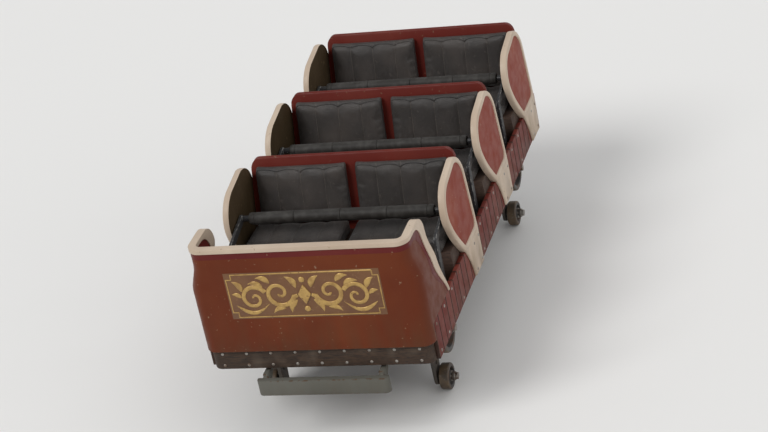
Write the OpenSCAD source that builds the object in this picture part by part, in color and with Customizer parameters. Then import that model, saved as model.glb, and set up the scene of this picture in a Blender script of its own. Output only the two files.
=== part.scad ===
// Lead car of a wooden roller coaster train, three rows of two seats.
// The car faces -Y, its left side is +X, and Z = 0 is the lowest point of the up-stop wheels.

/* [Body] */
// Room between the running wheels and the side panels
wheel_room = 52; // [44:1:70]
// Nose face to the middle of the first row's wings
nose_to_row = 870; // [820:10:960]
// Distance from one seat row to the next
row_pitch = 820; // [780:10:900]
// Rear edge of the last seat base to the rear face of the body
rear_room = 170; // [155:5:220]
// Height of the body's lower edge above the rail
sill_rise = 220; // [205:5:240]
// Height of the side panels between the wings
panel_h = 220; // [190:5:250]
// Thickness of the side panels
panel_t = 25; // [18:1:30]
// Spacing of the upright grooves between a side panel's boards
groove_pitch = 90; // [60:5:130]
// Depth of the grooves
groove_t = 4; // [1:0.5:5]
// Thickness of the floor deck
deck_t = 20; // [15:1:30]
// Thickness of the rear panel
rear_t = 26; // [18:1:32]
// Height of the rear panel above the sill
rear_h = 560; // [460:10:640]

/* [Nose] */
// Height of the dark apron board below the nose
apron_h = 120; // [90:5:150]
// Set-back of the apron behind the nose face
apron_back = 20; // [10:2:24]
// Height of the nose face
nose_h = 640; // [580:10:700]
// Wall of the nose shell
nose_t = 32; // [20:1:36]
// Radius of the nose's upright corners
nose_corner_r = 70; // [45:5:90]
// Length of the cheek's level top behind the nose face
cheek_top_len = 210; // [160:10:260]
// Radius of the cheek's round top
cheek_r = 110; // [90:5:130]
// Length of the cheek at the side panel's height
cheek_len = 430; // [380:10:500]
// Narrowing of the nose above its shoulders, on each side
shoulder_in = 38; // [20:2:50]
// Drop from the nose's top to where it starts to narrow
shoulder_drop = 270; // [220:10:320]
// Height over which it narrows
shoulder_h = 160; // [120:10:200]
// Depth of the pale trim along the nose's top edge
trim_h = 26; // [16:1:36]
// Width of the pale trim down the cheeks
trim_w = 70; // [40:2:80]
// Width of the pale trim at its foot
trim_foot = 22; // [14:1:36]
// How far the trim stands out from the nose
trim_out = 6; // [3:1:8]

/* [Seats] */
// Distance from the front of a seat base to the middle of its row
seat_fwd = 210; // [195:5:225]
// Depth of the seat base at its top
seat_d = 330; // [300:5:345]
// Height of the seat base above the deck
seat_h = 200; // [160:10:240]
// Set-back of the seat base's foot, for the riders' heels
toe_d = 40; // [20:5:60]
// Height of the set-back
toe_h = 90; // [60:5:120]
// Thickness of a seat cushion
cushion_t = 88; // [60:2:110]
// Reach of a cushion over the front of its base
cushion_over = 18; // [6:2:26]
// Width of the gap between the two seats of a row
pair_gap = 24; // [10:2:40]
// Thickness of the seat back's shell
back_t = 30; // [20:1:40]
// Height of the seat back above the seat base
back_h = 415; // [360:5:440]
// Radius of the seat back's upper corners
back_corner_r = 70; // [30:5:90]
// Lean of the seat back, in degrees
back_lean = 12; // [8:1:14]
// Thickness of a back pad
pad_t = 62; // [40:2:80]
// Distance of the back pad's lower edge above the seat base
pad_foot = 30; // [20:2:60]
// Distance of the back pad's upper edge below the seat back's
pad_head = 34; // [24:2:60]
// Room between the pads and the wings
pad_side = 20; // [10:2:34]

/* [Wings] */
// Reach of a wing ahead of the seat base
wing_fwd = 28; // [10:2:40]
// Reach of a wing behind the seat base
wing_aft = 117; // [100:1:130]
// Height of a wing's top above the sill
wing_rise = 735; // [680:5:780]
// Radius of a wing's round top corners
wing_r = 168; // [150:2:180]
// Drop from the wing's top to the middle of its front corner
wing_drop = 195; // [180:5:220]
// Width of the raised rim round a wing
wing_rim = 30; // [20:1:40]
// Radius of the rim's outer edge
rim_r = 10; // [6:1:12]
// Depth of the wing's field below its rim
wing_sink = 7; // [3:1:9]
// Radius of the field's lower corners
field_r = 45; // [30:5:60]
// Lean of the wings towards the car's middle, in degrees
wing_lean = 2.5; // [0:0.5:4]
// Width of a wing's tail at the sill
wing_tail_w = 190; // [150:5:230]
// Reach of the tail's rear corner behind the wing
tail_kick = 8; // [0:2:14]
// Thickness of the tail outside the side panel
wing_tail_t = 14; // [12:1:20]

/* [Lap bars] */
// Pivot's distance ahead of the row's middle
bar_pivot_fwd = 330; // [310:5:360]
// Pivot's height above the deck
bar_pivot_up = 62; // [50:2:80]
// Height of the bar above the pivot
bar_rise = 345; // [320:5:370]
// Distance of the bar behind the pivot
bar_back = 240; // [200:5:260]
// Drop of the arm's bend below the bar
bar_bend = 70; // [60:2:90]
// Radius of the pivot pins
bar_pin_r = 14; // [10:1:18]
// Thickness of the bosses that carry the pins
boss_t = 18; // [12:1:24]
// Radius of the bar's padded sleeve
bar_pad_r = 34; // [26:1:42]
// Radius of the round on the sleeve's ends
bar_pad_round = 12; // [6:1:16]
// Bare length of tube at each end of the bar
bar_bare = 40; // [24:2:60]
// Radius of the bar's tube
bar_tube_r = 17; // [12:1:22]
// Thickness of the bar's flat arms
bar_arm_t = 16; // [10:1:20]
// Width of the bar's flat arms
bar_arm_w = 44; // [36:1:56]

/* [Wheels] */
// Distance between the middles of the two rails
gauge = 1070; // [1040:5:1120]
// Distance between the front and the rear axle
wheelbase = 1860; // [1700:20:1960]
// Diameter of the running wheels
run_d = 280; // [250:5:296]
// Width of the running wheels
run_w = 76; // [60:2:80]
// Diameter of the up-stop wheels
stop_d = 150; // [130:5:180]
// Width of the up-stop wheels
stop_w = 56; // [40:2:60]
// Diameter of the guide wheels
guide_d = 160; // [130:5:176]
// Width of the guide wheels
guide_w = 60; // [44:2:64]
// Depth of the tyre on the running wheels
run_tyre = 22; // [14:1:30]
// Depth of the tyre on the small wheels
small_tyre = 14; // [8:1:18]
// Radius of the round on a tyre's edges
tyre_round = 8; // [4:1:12]
// Depth of the rail's lip between running and up-stop wheels
rail_lip = 95; // [90:1:110]
// Width of the rail's head
rail_head = 104; // [96:2:116]
// Radius of the running wheels' spindles
spindle_r = 25; // [20:1:32]
// Radius of the guide and up-stop wheels' pins
pin_r = 16; // [12:1:20]
// Distance of the guide wheels from the axle's line
guide_off = 150; // [142:2:180]

/* [Axles and carriers] */
// Height of the axle beams
beam_h = 80; // [70:2:90]
// Depth of the axle beams, front to back
beam_d = 70; // [60:2:80]
// Thickness of the spacers between axle beams and frame rails
spacer_t = 20; // [14:1:30]
// Thickness of the flange on top of a spacer
flange_t = 12; // [8:1:13]
// Reach of the flange round its spacer
flange_over = 16; // [10:2:24]
// Thickness of the hanger plates
hanger_t = 20; // [14:1:24]
// Width of the hanger plates at the beam
hanger_w = 120; // [100:4:130]
// Drop of the hanger plates' parallel sides below the axle
hanger_drop = 40; // [30:2:60]
// Radius of the hanger plates' round feet
foot_r = 46; // [38:1:54]
// Radius of the holes in the hanger plates
hanger_hole_r = 20; // [10:1:24]
// Reach of the gussets along the beam
gusset_l = 85; // [60:5:90]
// Drop of the gussets down the hanger plate
gusset_h = 80; // [50:5:90]
// Thickness of the gussets and ribs
gusset_t = 10; // [6:1:14]
// Thickness of the arms over the guide wheels
arm_t = 18; // [14:1:24]
// Radius of an arm's end round the guide wheel's pin
arm_r = 34; // [28:1:40]
// Height of the rib on an arm, where it meets the hanger plate
arm_rib_h = 100; // [60:5:110]
// Height of the rib on an arm, at its end
rib_end_h = 24; // [12:2:40]
// Length of the spindles' collars beside the wheels
collar_l = 28; // [20:1:34]
// How far the collars stand out round spindles and pins
collar_out = 10; // [6:1:14]
// Thickness of the caps on spindles and pins
cap_t = 12; // [6:1:14]

/* [Underframe] */
// Height of the frame rails
frame_h = 110; // [90:5:130]
// Width of the frame rails' flanges
frame_w = 50; // [40:2:60]
// Thickness of the frame rails' metal
frame_t = 8; // [6:1:12]
// Distance from the car's middle to the frame rails' webs
frame_x = 305; // [280:5:320]
// Width of the cross members
cross_w = 60; // [50:2:80]
// Height of the cross members
cross_h = 84; // [60:2:88]
// Height of the outriggers that carry the deck's sides
rigger_h = 50; // [40:2:70]
// Distance of the first cross member behind the nose face
first_cross = 110; // [102:2:130]
// Reach of the bumper ahead of the nose face
bumper_reach = 50; // [44:2:70]
// Width of the bumper bar
bumper_w = 750; // [700:10:820]
// Height of the bumper bar
bumper_h = 95; // [80:5:110]
// Depth of the bumper bar, front to back
bumper_t = 40; // [30:2:43]
// Radius of the bumper bar's ends
bumper_r = 28; // [15:1:29]
// Drop of the bumper bar below the frame
bumper_drop = 20; // [10:2:40]
// Length of the brackets behind the bumper bar
bracket_l = 150; // [130:5:200]
// Thickness of the brackets
bracket_t = 30; // [16:2:36]
// Reach of the drawbar behind the body
hitch_reach = 150; // [130:5:180]
// Thickness of the drawbar's tongue
hitch_t = 26; // [20:1:32]
// Radius of the hitch eye's bore
hitch_r = 16; // [12:0.5:20]
// Width of the drawbar's tongue
hitch_w = 90; // [80:2:110]
// Thickness of the drawbar's plate on the rear panel
hitch_plate_t = 14; // [10:1:18]
// Distance of the two middle cross members from the car's middle
dog_y = 250; // [200:10:300]
// Distance of the chain dog's pivot ahead of its cross member
dog_off = 120; // [90:5:150]
// Drop of the chain dog's pivot below the frame
dog_sink = 20; // [10:2:30]
// Radius of the chain dog's eye and of its ears
dog_r = 26; // [22:1:30]
// Thickness of the chain dog
dog_t = 30; // [20:1:36]
// Drop of the chain dog's tip below its pivot
dog_drop = 185; // [150:5:195]
// Reach of the chain dog's tip behind its pivot
dog_reach = 190; // [160:5:210]
// Length of the chain dog's flat tip
dog_tip = 40; // [20:2:50]
// Radius of the chain dog's pin
dog_pin_r = 12; // [8:1:16]
// Thickness of the chain dog's ears
ear_t = 10; // [6:1:14]
// Distance of the brake fins from the car's middle
fin_x = 190; // [120:5:260]
// Thickness of the brake fins
fin_t = 12; // [8:1:16]
// Depth of the brake fins
fin_h = 120; // [80:5:140]
// Length of the brake fins
fin_len = 760; // [600:20:820]
// Length of the slope at each end of a brake fin
fin_slope = 90; // [40:5:100]

/* [Clearances] */
// Clearance between still pieces that lie side by side
seat_gap = 0.3; // [0.2:0.1:0.5]
// Clearance beside a wheel or a lap bar arm
side_gap = 6; // [5:0.5:8]
// Clearance between the up-stop wheels and the rail
rail_gap = 5; // [3:0.5:8]
// Radial clearance on a pin or spindle
run_gap = 0.05; // [0.02:0.01:0.1]

/* [Hidden] */
$fn = 64;

body_len = nose_to_row + 2 * row_pitch + seat_d - seat_fwd + rear_room;
nose_y = -(body_len - bumper_reach + hitch_reach) / 2;
tail_y = nose_y + body_len;
rows = [for (i = [0:2]) nose_y + nose_to_row + i * row_pitch];
side_in = gauge / 2 + run_w / 2 + wheel_room;
half_w = side_in + panel_t;
wing_x = half_w + wing_tail_t;

rail_z = stop_d + rail_gap + rail_lip;
axle_z = rail_z + run_d / 2;
axle_ys = [-wheelbase / 2, wheelbase / 2];
frame_z = axle_z + beam_h / 2 + spacer_t;
deck_z = frame_z + frame_h;
deck_top = deck_z + deck_t;
sill_z = rail_z + sill_rise;
panel_top = sill_z + panel_h;
nose_z = sill_z + apron_h;
nose_top = nose_z + nose_h;
wing_top = sill_z + wing_rise;
seat_z = deck_top + seat_h;
back_top = seat_z + back_h;

rail_in = gauge / 2 - rail_head / 2;
hanger_x = gauge / 2 - run_w / 2 - side_gap - collar_l - hanger_t;
plate_x = hanger_x + hanger_t;
stop_x = plate_x + side_gap + collar_out;
stop_z = stop_d / 2;
guide_x = rail_in - rail_gap - guide_d / 2;
guide_z = rail_z - rail_lip / 2 - guide_w / 2;
arm_z = guide_z + guide_w + side_gap;
dog_z = frame_z - dog_sink;
cross_z = frame_z + (frame_h - cross_h) / 2;
cross_ys = [nose_y + first_cross, axle_ys[0] + run_d / 2 + cross_w, -dog_y, dog_y,
            axle_ys[1] - run_d / 2 - cross_w, tail_y - rear_t - cross_w / 2];

// Points along an arc, with its centre, radius and first and last angle
function arc(c, r, a0, a1, n = 8) =
    [for (i = [0:n]) let (a = a0 + (a1 - a0) * i / n) [c[0] + r * cos(a), c[1] + r * sin(a)]];

// Points between the two ends of a cubic curve
function curve(p0, p1, p2, p3, n = 10) =
    [for (i = [1:n - 1]) let (t = i / n, s = 1 - t)
        s * s * s * p0 + 3 * s * s * t * p1 + 3 * s * t * t * p2 + t * t * t * p3];

// An outline moved in by d, each point along its own normal
function moved_in(p, d) =
    let (n = len(p))
    [for (i = [0:n - 1]) let (v = p[(i + 1) % n] - p[(i + n - 1) % n])
        p[i] + d * [-v[1], v[0]] / norm(v)];

// Stretches a Y-Z outline along X, from x0 to x1
module along_x(x0, x1) {
    translate([x0, 0, 0]) rotate([90, 0, 90]) linear_extrude(x1 - x0) children();
}

// Stretches an X-Z outline along Y, from y0 to y1
module along_y(y0, y1) {
    translate([0, y1, 0]) rotate([90, 0, 0]) linear_extrude(y1 - y0) children();
}

// A cylinder along X, from x0 to x1
module rod_x(x0, x1, r, y, z) {
    translate([x0, y, z]) rotate([0, 90, 0]) cylinder(r = r, h = x1 - x0);
}

// Draws its children on both sides of the car
module both_sides() {
    for (side = [0, 1]) mirror([side, 0, 0]) children();
}

// Solid through outlines at rising levels; each level is [height, points]
module loft(levels) {
    n = len(levels[0][1]);
    m = len(levels);
    polyhedron(
        points = [for (l = levels) for (p = l[1]) [p[0], p[1], l[0]]],
        faces = concat(
            [[for (i = [0:n - 1]) i]],
            [for (k = [0:m - 2]) for (i = [0:n - 1]) let (j = (i + 1) % n)
                [k * n + i, k * n + n + i, k * n + n + j, k * n + j]],
            [[for (i = [0:n - 1]) m * n - 1 - i]]));
}

// Leans a side piece in by wing_lean about the side panel's top inner edge
module leaned() {
    translate([side_in, 0, panel_top]) rotate([0, -wing_lean, 0])
        translate([-side_in, 0, -panel_top]) children();
}

// Half the room between the leaned wings at a height
function room_x(z) = side_in - max(0, z - panel_top) * tan(wing_lean) - seat_gap;

// Keeps what lies between the wings
module between_wings() {
    intersection() {
        children();
        along_y(nose_y, tail_y) polygon([
            [-room_x(sill_z), sill_z], [room_x(sill_z), sill_z], [room_x(panel_top), panel_top],
            [room_x(wing_top), wing_top], [-room_x(wing_top), wing_top],
            [-room_x(panel_top), panel_top]]);
    }
}

// Wing outline in Y-Z for a row whose middle is at y: rear corner, front corner,
// scallop down to the tail, and the tail's foot on the sill
function wing_points(y) =
    let (front = [y - seat_fwd - wing_fwd + wing_r, wing_top - wing_drop],
         rear = [y - seat_fwd + seat_d + wing_aft - wing_r, wing_top - wing_r],
         turn = 202,
         a_end = front + wing_r * [cos(turn), sin(turn)],
         waist_pull = [70, -190],
         tail_pull = [-40, 210],
         tail_rear = [rear[0] + wing_r + tail_kick, sill_z + rim_r / 2],
         tail_front = tail_rear - [wing_tail_w, 0])
    concat(arc(rear, wing_r, 0, 85), arc(front, wing_r, 95, turn, 10),
        curve(a_end, a_end + waist_pull, tail_front + tail_pull, tail_front),
        [tail_front, tail_rear]);

// Upright slab of a wing, its outer edge rounded in three steps
module wing_slab(y) {
    outline = wing_points(y);
    rotate([90, 0, 90]) loft([[side_in, outline], [wing_x - rim_r, outline],
        [wing_x - rim_r * 0.3, moved_in(outline, rim_r * 0.3)],
        [wing_x, moved_in(outline, rim_r)]]);
}

// Sunk field inside a wing's rim
module wing_field(y) {
    offset(r = field_r) offset(delta = -field_r - wing_rim) intersection() {
        polygon(wing_points(y));
        translate([y - wing_rise, panel_top]) square([2 * wing_rise, wing_rise]);
    }
}

module wing(y) {
    length = 2 * seat_d;
    leaned() difference() {
        intersection() {
            wing_slab(y);
            translate([side_in, y - seat_d, panel_top]) cube([wing_x, length, wing_rise]);
        }
        along_x(wing_x - wing_sink, wing_x + wing_sink) wing_field(y);
    }
    intersection() {
        wing_slab(y);
        translate([half_w, y - seat_d, sill_z])
            cube([wing_x, length, panel_h + wing_tail_t * sin(wing_lean)]);
    }
}

module wing_left(y) { color("blanchedalmond") wing(y); }
module wing_right(y) { color("blanchedalmond") mirror([1, 0, 0]) wing(y); }

// Boarded panel with the bosses and pins of the lap bars
module side_panel() {
    first = nose_y + nose_corner_r;
    boards = floor((tail_y - first) / groove_pitch);
    color("firebrick") {
        difference() {
            along_x(side_in, half_w) translate([first, sill_z]) square([tail_y - first, panel_h]);
            for (i = [1:boards]) translate([half_w, first + i * groove_pitch, sill_z - 1])
                cylinder(r = groove_t, h = panel_h + 2, $fn = 4);
        }
        for (y = rows) {
            py = y - bar_pivot_fwd;
            pz = deck_top + bar_pivot_up;
            rod_x(side_in - boss_t, side_in, 2 * bar_pin_r, py, pz);
            rod_x(side_in - boss_t - 2 * side_gap - bar_arm_t, side_in, bar_pin_r, py, pz);
        }
    }
}

// Side outline of the nose in Y-Z: level top, cheek, and scallop down to the low entry.
// The trim's inner edge is the same outline, moved by back, down and foot.
function nose_side(back = 0, down = 0, foot = 0) =
    let (top = [nose_y + cheek_top_len - back, nose_top - down - cheek_r],
         turn = -20,
         a_end = top + cheek_r * [cos(turn), sin(turn)],
         low = [nose_y + cheek_len - foot, panel_top],
         cheek_pull = [-50, -150],
         foot_pull = [-40, 110],
         front = nose_y - 2 * trim_out)
    concat([[front, nose_top - down]], arc(top, cheek_r, 90, turn),
        curve(a_end, a_end + cheek_pull, low + foot_pull, low), [low, [front, panel_top]]);

// Plan outline of the nose at a half width: round corners in front, straight sides behind
function nose_plan(w, inset) =
    let (x = w - inset, r = nose_corner_r - inset, y = nose_y + inset,
         rear = nose_y + cheek_len + cheek_r)
    concat(arc([-x + r, y + r], r, 180, 270), arc([x - r, y + r], r, 270, 360),
        [[x, rear], [-x, rear]]);

// Half width of the nose at a height: it narrows above the shoulders
function nose_half(z) =
    let (t = max(0, min(1, (z - nose_top + shoulder_drop) / shoulder_h)))
    half_w - shoulder_in * t * t * (3 - 2 * t);

nose_levels = concat([nose_z], [for (i = [0:5]) nose_top - shoulder_drop + shoulder_h * i / 5],
                     [nose_top]);

// Wall of the nose between two insets from its outline
module nose_wall(outer, inner) {
    difference() {
        loft([for (z = nose_levels) [z, nose_plan(nose_half(z), outer)]]);
        loft([for (z = concat([nose_z - 1], nose_levels, [nose_top + 1]))
            [z, nose_plan(nose_half(z), inner)]]);
    }
}

module nose_shell() {
    color("firebrick") intersection() {
        nose_wall(0, nose_t);
        along_x(-half_w, half_w) union() {
            polygon(nose_side(trim_w, trim_h, trim_foot));
            translate([nose_y, nose_z]) square([nose_corner_r, nose_h / 2]);
        }
    }
}

module nose_trim() {
    color("blanchedalmond") intersection() {
        nose_wall(-trim_out, nose_t + trim_out);
        along_x(-half_w - trim_out, half_w + trim_out) difference() {
            polygon(nose_side());
            polygon(nose_side(trim_w, trim_h, trim_foot));
        }
    }
}

module front_apron() {
    color("saddlebrown") intersection() {
        translate([0, 0, sill_z]) linear_extrude(apron_h) polygon(nose_plan(half_w, apron_back));
        translate([-half_w, nose_y, sill_z]) cube([2 * half_w, nose_corner_r, apron_h]);
    }
}

module rear_panel() {
    color("firebrick") between_wings() along_y(tail_y - rear_t, tail_y)
        translate([-half_w, sill_z]) square([2 * half_w, rear_h]);
}

module floor_deck() {
    color("saddlebrown") translate([-side_in, nose_y + nose_corner_r, deck_z])
        cube([2 * side_in, body_len - nose_corner_r - rear_t, deck_t]);
}

module frame_rails() {
    color("dimgray") both_sides() along_y(nose_y + nose_corner_r, tail_y - rear_t) polygon([
        [frame_x, frame_z], [frame_x + frame_w, frame_z],
        [frame_x + frame_w, frame_z + frame_t], [frame_x + frame_t, frame_z + frame_t],
        [frame_x + frame_t, deck_z - frame_t], [frame_x + frame_w, deck_z - frame_t],
        [frame_x + frame_w, deck_z], [frame_x, deck_z]]);
}

module cross_members() {
    rigger_x = frame_x + frame_w;
    color("dimgray") {
        for (y = cross_ys) {
            translate([-frame_x, y - cross_w / 2, cross_z]) cube([2 * frame_x, cross_w, cross_h]);
            both_sides() along_y(y - cross_w / 2, y + cross_w / 2) polygon([
                [rigger_x, deck_z - rigger_h], [side_in, deck_z - rigger_h / 2],
                [side_in, deck_z], [rigger_x, deck_z]]);
        }
        // Ears and pin of the chain dog
        ear_x = dog_t / 2 + side_gap;
        ear_turn = 110;
        both_sides() along_x(ear_x, ear_x + ear_t) polygon(concat(
            [[cross_w / 3 - dog_y, cross_z], [-cross_w / 3 - dog_y, cross_z]],
            arc([-dog_y - dog_off, dog_z], dog_r, ear_turn, ear_turn + 180)));
        rod_x(-ear_x - 2 * ear_t, ear_x + 2 * ear_t, dog_pin_r, -dog_y - dog_off, dog_z);
    }
}

// Spindle, hanger plate, guide arm and gussets at one end of an axle whose line is at y = 0;
// the guide wheel lies on the +Y side
module carrier() {
    run_in = gauge / 2 - run_w / 2 - side_gap;
    run_out = gauge / 2 + run_w / 2 + side_gap;
    stop_out = stop_x + stop_w + side_gap;
    beam_z = axle_z - beam_h / 2;
    hole_z = (stop_z + arm_z) / 2 + foot_r / 3;
    // Spindle, its collar and its cap
    rod_x(hanger_x, run_out + cap_t + side_gap, spindle_r, 0, axle_z);
    rod_x(hanger_x, run_in, spindle_r + collar_out, 0, axle_z);
    rod_x(run_out, run_out + cap_t, spindle_r + collar_out, 0, axle_z);
    // Hanger plate down to the up-stop wheel, with that wheel's pin, collar and cap
    along_x(hanger_x, plate_x) difference() {
        polygon(concat(
            [[hanger_w / 2, axle_z + beam_h / 2], [-hanger_w / 2, axle_z + beam_h / 2],
             [-hanger_w / 2, axle_z - hanger_drop]],
            arc([0, stop_z], foot_r, 180, 360, 12), [[hanger_w / 2, axle_z - hanger_drop]]));
        translate([0, hole_z]) circle(r = hanger_hole_r);
    }
    rod_x(hanger_x, stop_out + cap_t, pin_r, 0, stop_z);
    rod_x(hanger_x, stop_x - side_gap, pin_r + collar_out, 0, stop_z);
    rod_x(stop_out, stop_out + cap_t, pin_r + collar_out, 0, stop_z);
    // Gussets between the beam and the plate
    for (y = [-beam_d / 2, beam_d / 2 - gusset_t]) along_y(y, y + gusset_t) polygon([
        [hanger_x - gusset_l, beam_z], [hanger_x, beam_z - gusset_h], [hanger_x, beam_z]]);
    // Arm over the guide wheel, its rib, and the wheel's pin and cap
    arm_front = 60;
    arm_rear = 200;
    translate([0, 0, arm_z]) linear_extrude(arm_t) polygon(concat(
        [[plate_x, -hanger_w / 3], [plate_x, guide_off]],
        arc([guide_x, guide_off], arm_r, arm_front, arm_rear),
        [[hanger_x - arm_r / 2, -hanger_w / 3]]));
    along_x(hanger_x, hanger_x + gusset_t) polygon([
        [0, arm_z], [guide_off, arm_z], [guide_off, arm_z + rib_end_h], [0, arm_z + arm_rib_h]]);
    pin_z = guide_z - side_gap - cap_t;
    translate([guide_x, guide_off, pin_z]) cylinder(r = pin_r, h = arm_z + arm_t - pin_z + cap_t);
    translate([guide_x, guide_off, pin_z]) cylinder(r = pin_r + collar_out, h = cap_t);
    translate([guide_x, guide_off, arm_z + arm_t]) cylinder(r = pin_r + collar_out / 2, h = cap_t);
}

module axle(y, way) {
    color("slategray") {
        translate([-hanger_x, y - beam_d / 2, axle_z - beam_h / 2])
            cube([2 * hanger_x, beam_d, beam_h]);
        both_sides() translate([0, y, 0]) mirror([0, way < 0 ? 1 : 0, 0]) {
            carrier();
            translate([frame_x, -beam_d / 2, axle_z])
                cube([frame_w, beam_d, beam_h / 2 + spacer_t]);
            translate([frame_x - flange_over, -beam_d / 2 - flange_over, frame_z - flange_t])
                cube([frame_w + 2 * flange_over, beam_d + 2 * flange_over, flange_t]);
        }
    }
}

// Wheel about Z at its middle: round tyre, web with six holes and a hub
module wheel(d, w, bore, tyre) {
    r = d / 2;
    h = w / 2;
    hub = bore * 2;
    web = w / 7;
    rim = r - tyre - tyre_round;
    difference() {
        rotate_extrude($fn = 96) polygon(concat(
            [[bore, -h], [hub, -h], [hub, -web], [rim, -web], [rim, -h]],
            arc([r - tyre_round, -h + tyre_round], tyre_round, -90, 0, 4),
            arc([r - tyre_round, h - tyre_round], tyre_round, 0, 90, 4),
            [[rim, h], [rim, web], [hub, web], [hub, h], [bore, h]]));
        for (i = [0:5]) rotate([0, 0, 60 * i]) translate([(hub + rim) / 2, 0, -w])
            cylinder(r = (rim - hub) * 0.3, h = 2 * w, $fn = 24);
    }
}

module run_wheel(side, y) {
    color("dimgray") translate([side * gauge / 2, y, axle_z]) rotate([0, 90, 0])
        wheel(run_d, run_w, spindle_r + run_gap, run_tyre);
}

module stop_wheel(side, y) {
    color("dimgray") translate([side * (stop_x + stop_w / 2), y, stop_z])
        rotate([0, 90, 0]) wheel(stop_d, stop_w, pin_r + run_gap, small_tyre);
}

module guide_wheel(side, y, way) {
    color("dimgray") translate([side * guide_x, y + way * guide_off, guide_z + guide_w / 2])
        wheel(guide_d, guide_w, pin_r + run_gap, small_tyre);
}

module seat_bases() {
    color("saddlebrown") for (y = rows) between_wings() along_x(-half_w, half_w)
        translate([y - seat_fwd, 0]) polygon([
            [toe_d, deck_top], [0, deck_top + toe_h], [0, seat_z], [seat_d, seat_z],
            [seat_d, deck_top]]);
}

// Front face of the seat back at a height
function back_y(y, z) =
    y - seat_fwd + seat_d + seat_gap + (z - deck_top) * tan(back_lean);

module seat_backs() {
    roll = back_t / 2;
    corner_z = back_top - back_corner_r;
    corner_x = room_x(corner_z) - back_corner_r;
    color("firebrick") intersection() {
        for (y = rows) between_wings() along_x(-half_w, half_w) polygon(concat(
            [[back_y(y, deck_top) + back_t, deck_top],
             [back_y(y, back_top - roll) + back_t, back_top - roll]],
            arc([back_y(y, back_top - roll) + roll, back_top - roll], roll, 0, 180),
            [[back_y(y, back_top - roll), back_top - roll], [back_y(y, deck_top), deck_top]]));
        // Round upper corners
        along_y(nose_y, tail_y) polygon(concat(
            [[-half_w, deck_top], [half_w, deck_top]],
            arc([corner_x, corner_z], back_corner_r, 0, 90),
            arc([-corner_x, corner_z], back_corner_r, 90, 180)));
    }
}

// Two pads side by side, each from the middle gap out to the wings
module pair(outer) {
    both_sides() along_x(pair_gap / 2, outer) children();
}

module cushions(y) {
    z0 = seat_z + seat_gap;
    z1 = z0 + cushion_t;
    front = y - seat_fwd - cushion_over;
    rear = back_y(y, z0) - pad_t - side_gap;
    nose_r = cushion_t * 0.4;
    edge_r = cushion_t * 0.2;
    color("darkslategray") pair(room_x(z1) - pad_side) polygon(concat(
        [[rear, z0]], arc([rear - edge_r, z1 - edge_r], edge_r, 0, 90, 4),
        arc([front + nose_r, z1 - nose_r], nose_r, 90, 180, 6),
        arc([front + edge_r, z0 + edge_r], edge_r, 180, 270, 4)));
}

module back_pads(y) {
    z0 = seat_z + pad_foot;
    z1 = back_top - pad_head;
    edge = pad_t * 0.36;
    rest = 1.5 * seat_gap;
    color("darkslategray") pair(room_x(z1) - pad_side) polygon([
        [back_y(y, z0) - rest, z0], [back_y(y, z1) - rest, z1],
        [back_y(y, z1) - pad_t + edge, z1 + edge / 4], [back_y(y, z1) - pad_t, z1 - edge],
        [back_y(y, z0) - pad_t, z0 + edge], [back_y(y, z0) - pad_t + edge, z0]]);
}

module lap_bar(y) {
    py = y - bar_pivot_fwd;
    pz = deck_top + bar_pivot_up;
    ax = side_in - boss_t - side_gap - bar_arm_t;
    bar = [py + bar_back, pz + bar_rise];
    bend = [py + bar_arm_w / 2, bar[1] - bar_bend];
    sleeve = ax - bar_bare;
    color("gray") {
        both_sides() difference() {
            along_x(ax, ax + bar_arm_t) union() {
                translate([py, pz]) circle(r = 2 * bar_pin_r);
                translate([py - bar_arm_w / 2, pz]) square([bar_arm_w, bend[1] - pz]);
                polygon(concat([bend], arc(bend, bar_arm_w, 180, 90, 6)));
                polygon([bend, bend + [0, bar_arm_w], bar + [0, bar_arm_w / 2],
                         bar - [0, bar_arm_w / 2]]);
                translate(bar) circle(r = bar_arm_w / 2);
            }
            rod_x(ax - 1, ax + bar_arm_t + 1, bar_pin_r + run_gap, py, pz);
        }
        rod_x(-ax - bar_arm_t / 2, ax + bar_arm_t / 2, bar_tube_r, bar[0], bar[1]);
        // Sleeve with round ends
        translate([0, bar[0], bar[1]]) rotate([0, 90, 0]) rotate_extrude() polygon(concat(
            [[0, -sleeve]],
            arc([bar_pad_r - bar_pad_round, bar_pad_round - sleeve], bar_pad_round, -90, 0, 4),
            arc([bar_pad_r - bar_pad_round, sleeve - bar_pad_round], bar_pad_round, 0, 90, 4),
            [[0, sleeve]]));
    }
}

module front_bumper() {
    y0 = nose_y - bumper_reach;
    z0 = frame_z - bumper_drop - bumper_h;
    end = bumper_w / 2;
    color("silver") {
        translate([0, 0, z0]) linear_extrude(bumper_h) polygon(concat(
            arc([-end + bumper_r, y0 + bumper_r], bumper_r, 180, 270, 6),
            arc([end - bumper_r, y0 + bumper_r], bumper_r, 270, 360, 6),
            [[end, y0 + bumper_t], [-end, y0 + bumper_t]]));
        // Brackets up to the frame rails
        both_sides() along_x(frame_x + bumper_t / 4, frame_x + bumper_t / 4 + bracket_t)
            translate([y0 + bumper_t, 0]) polygon([
                [0, z0 + bumper_h / 5], [0, frame_z], [bracket_l - bumper_t, frame_z],
                [bracket_l - bumper_t, frame_z - bumper_drop]]);
    }
}

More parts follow.
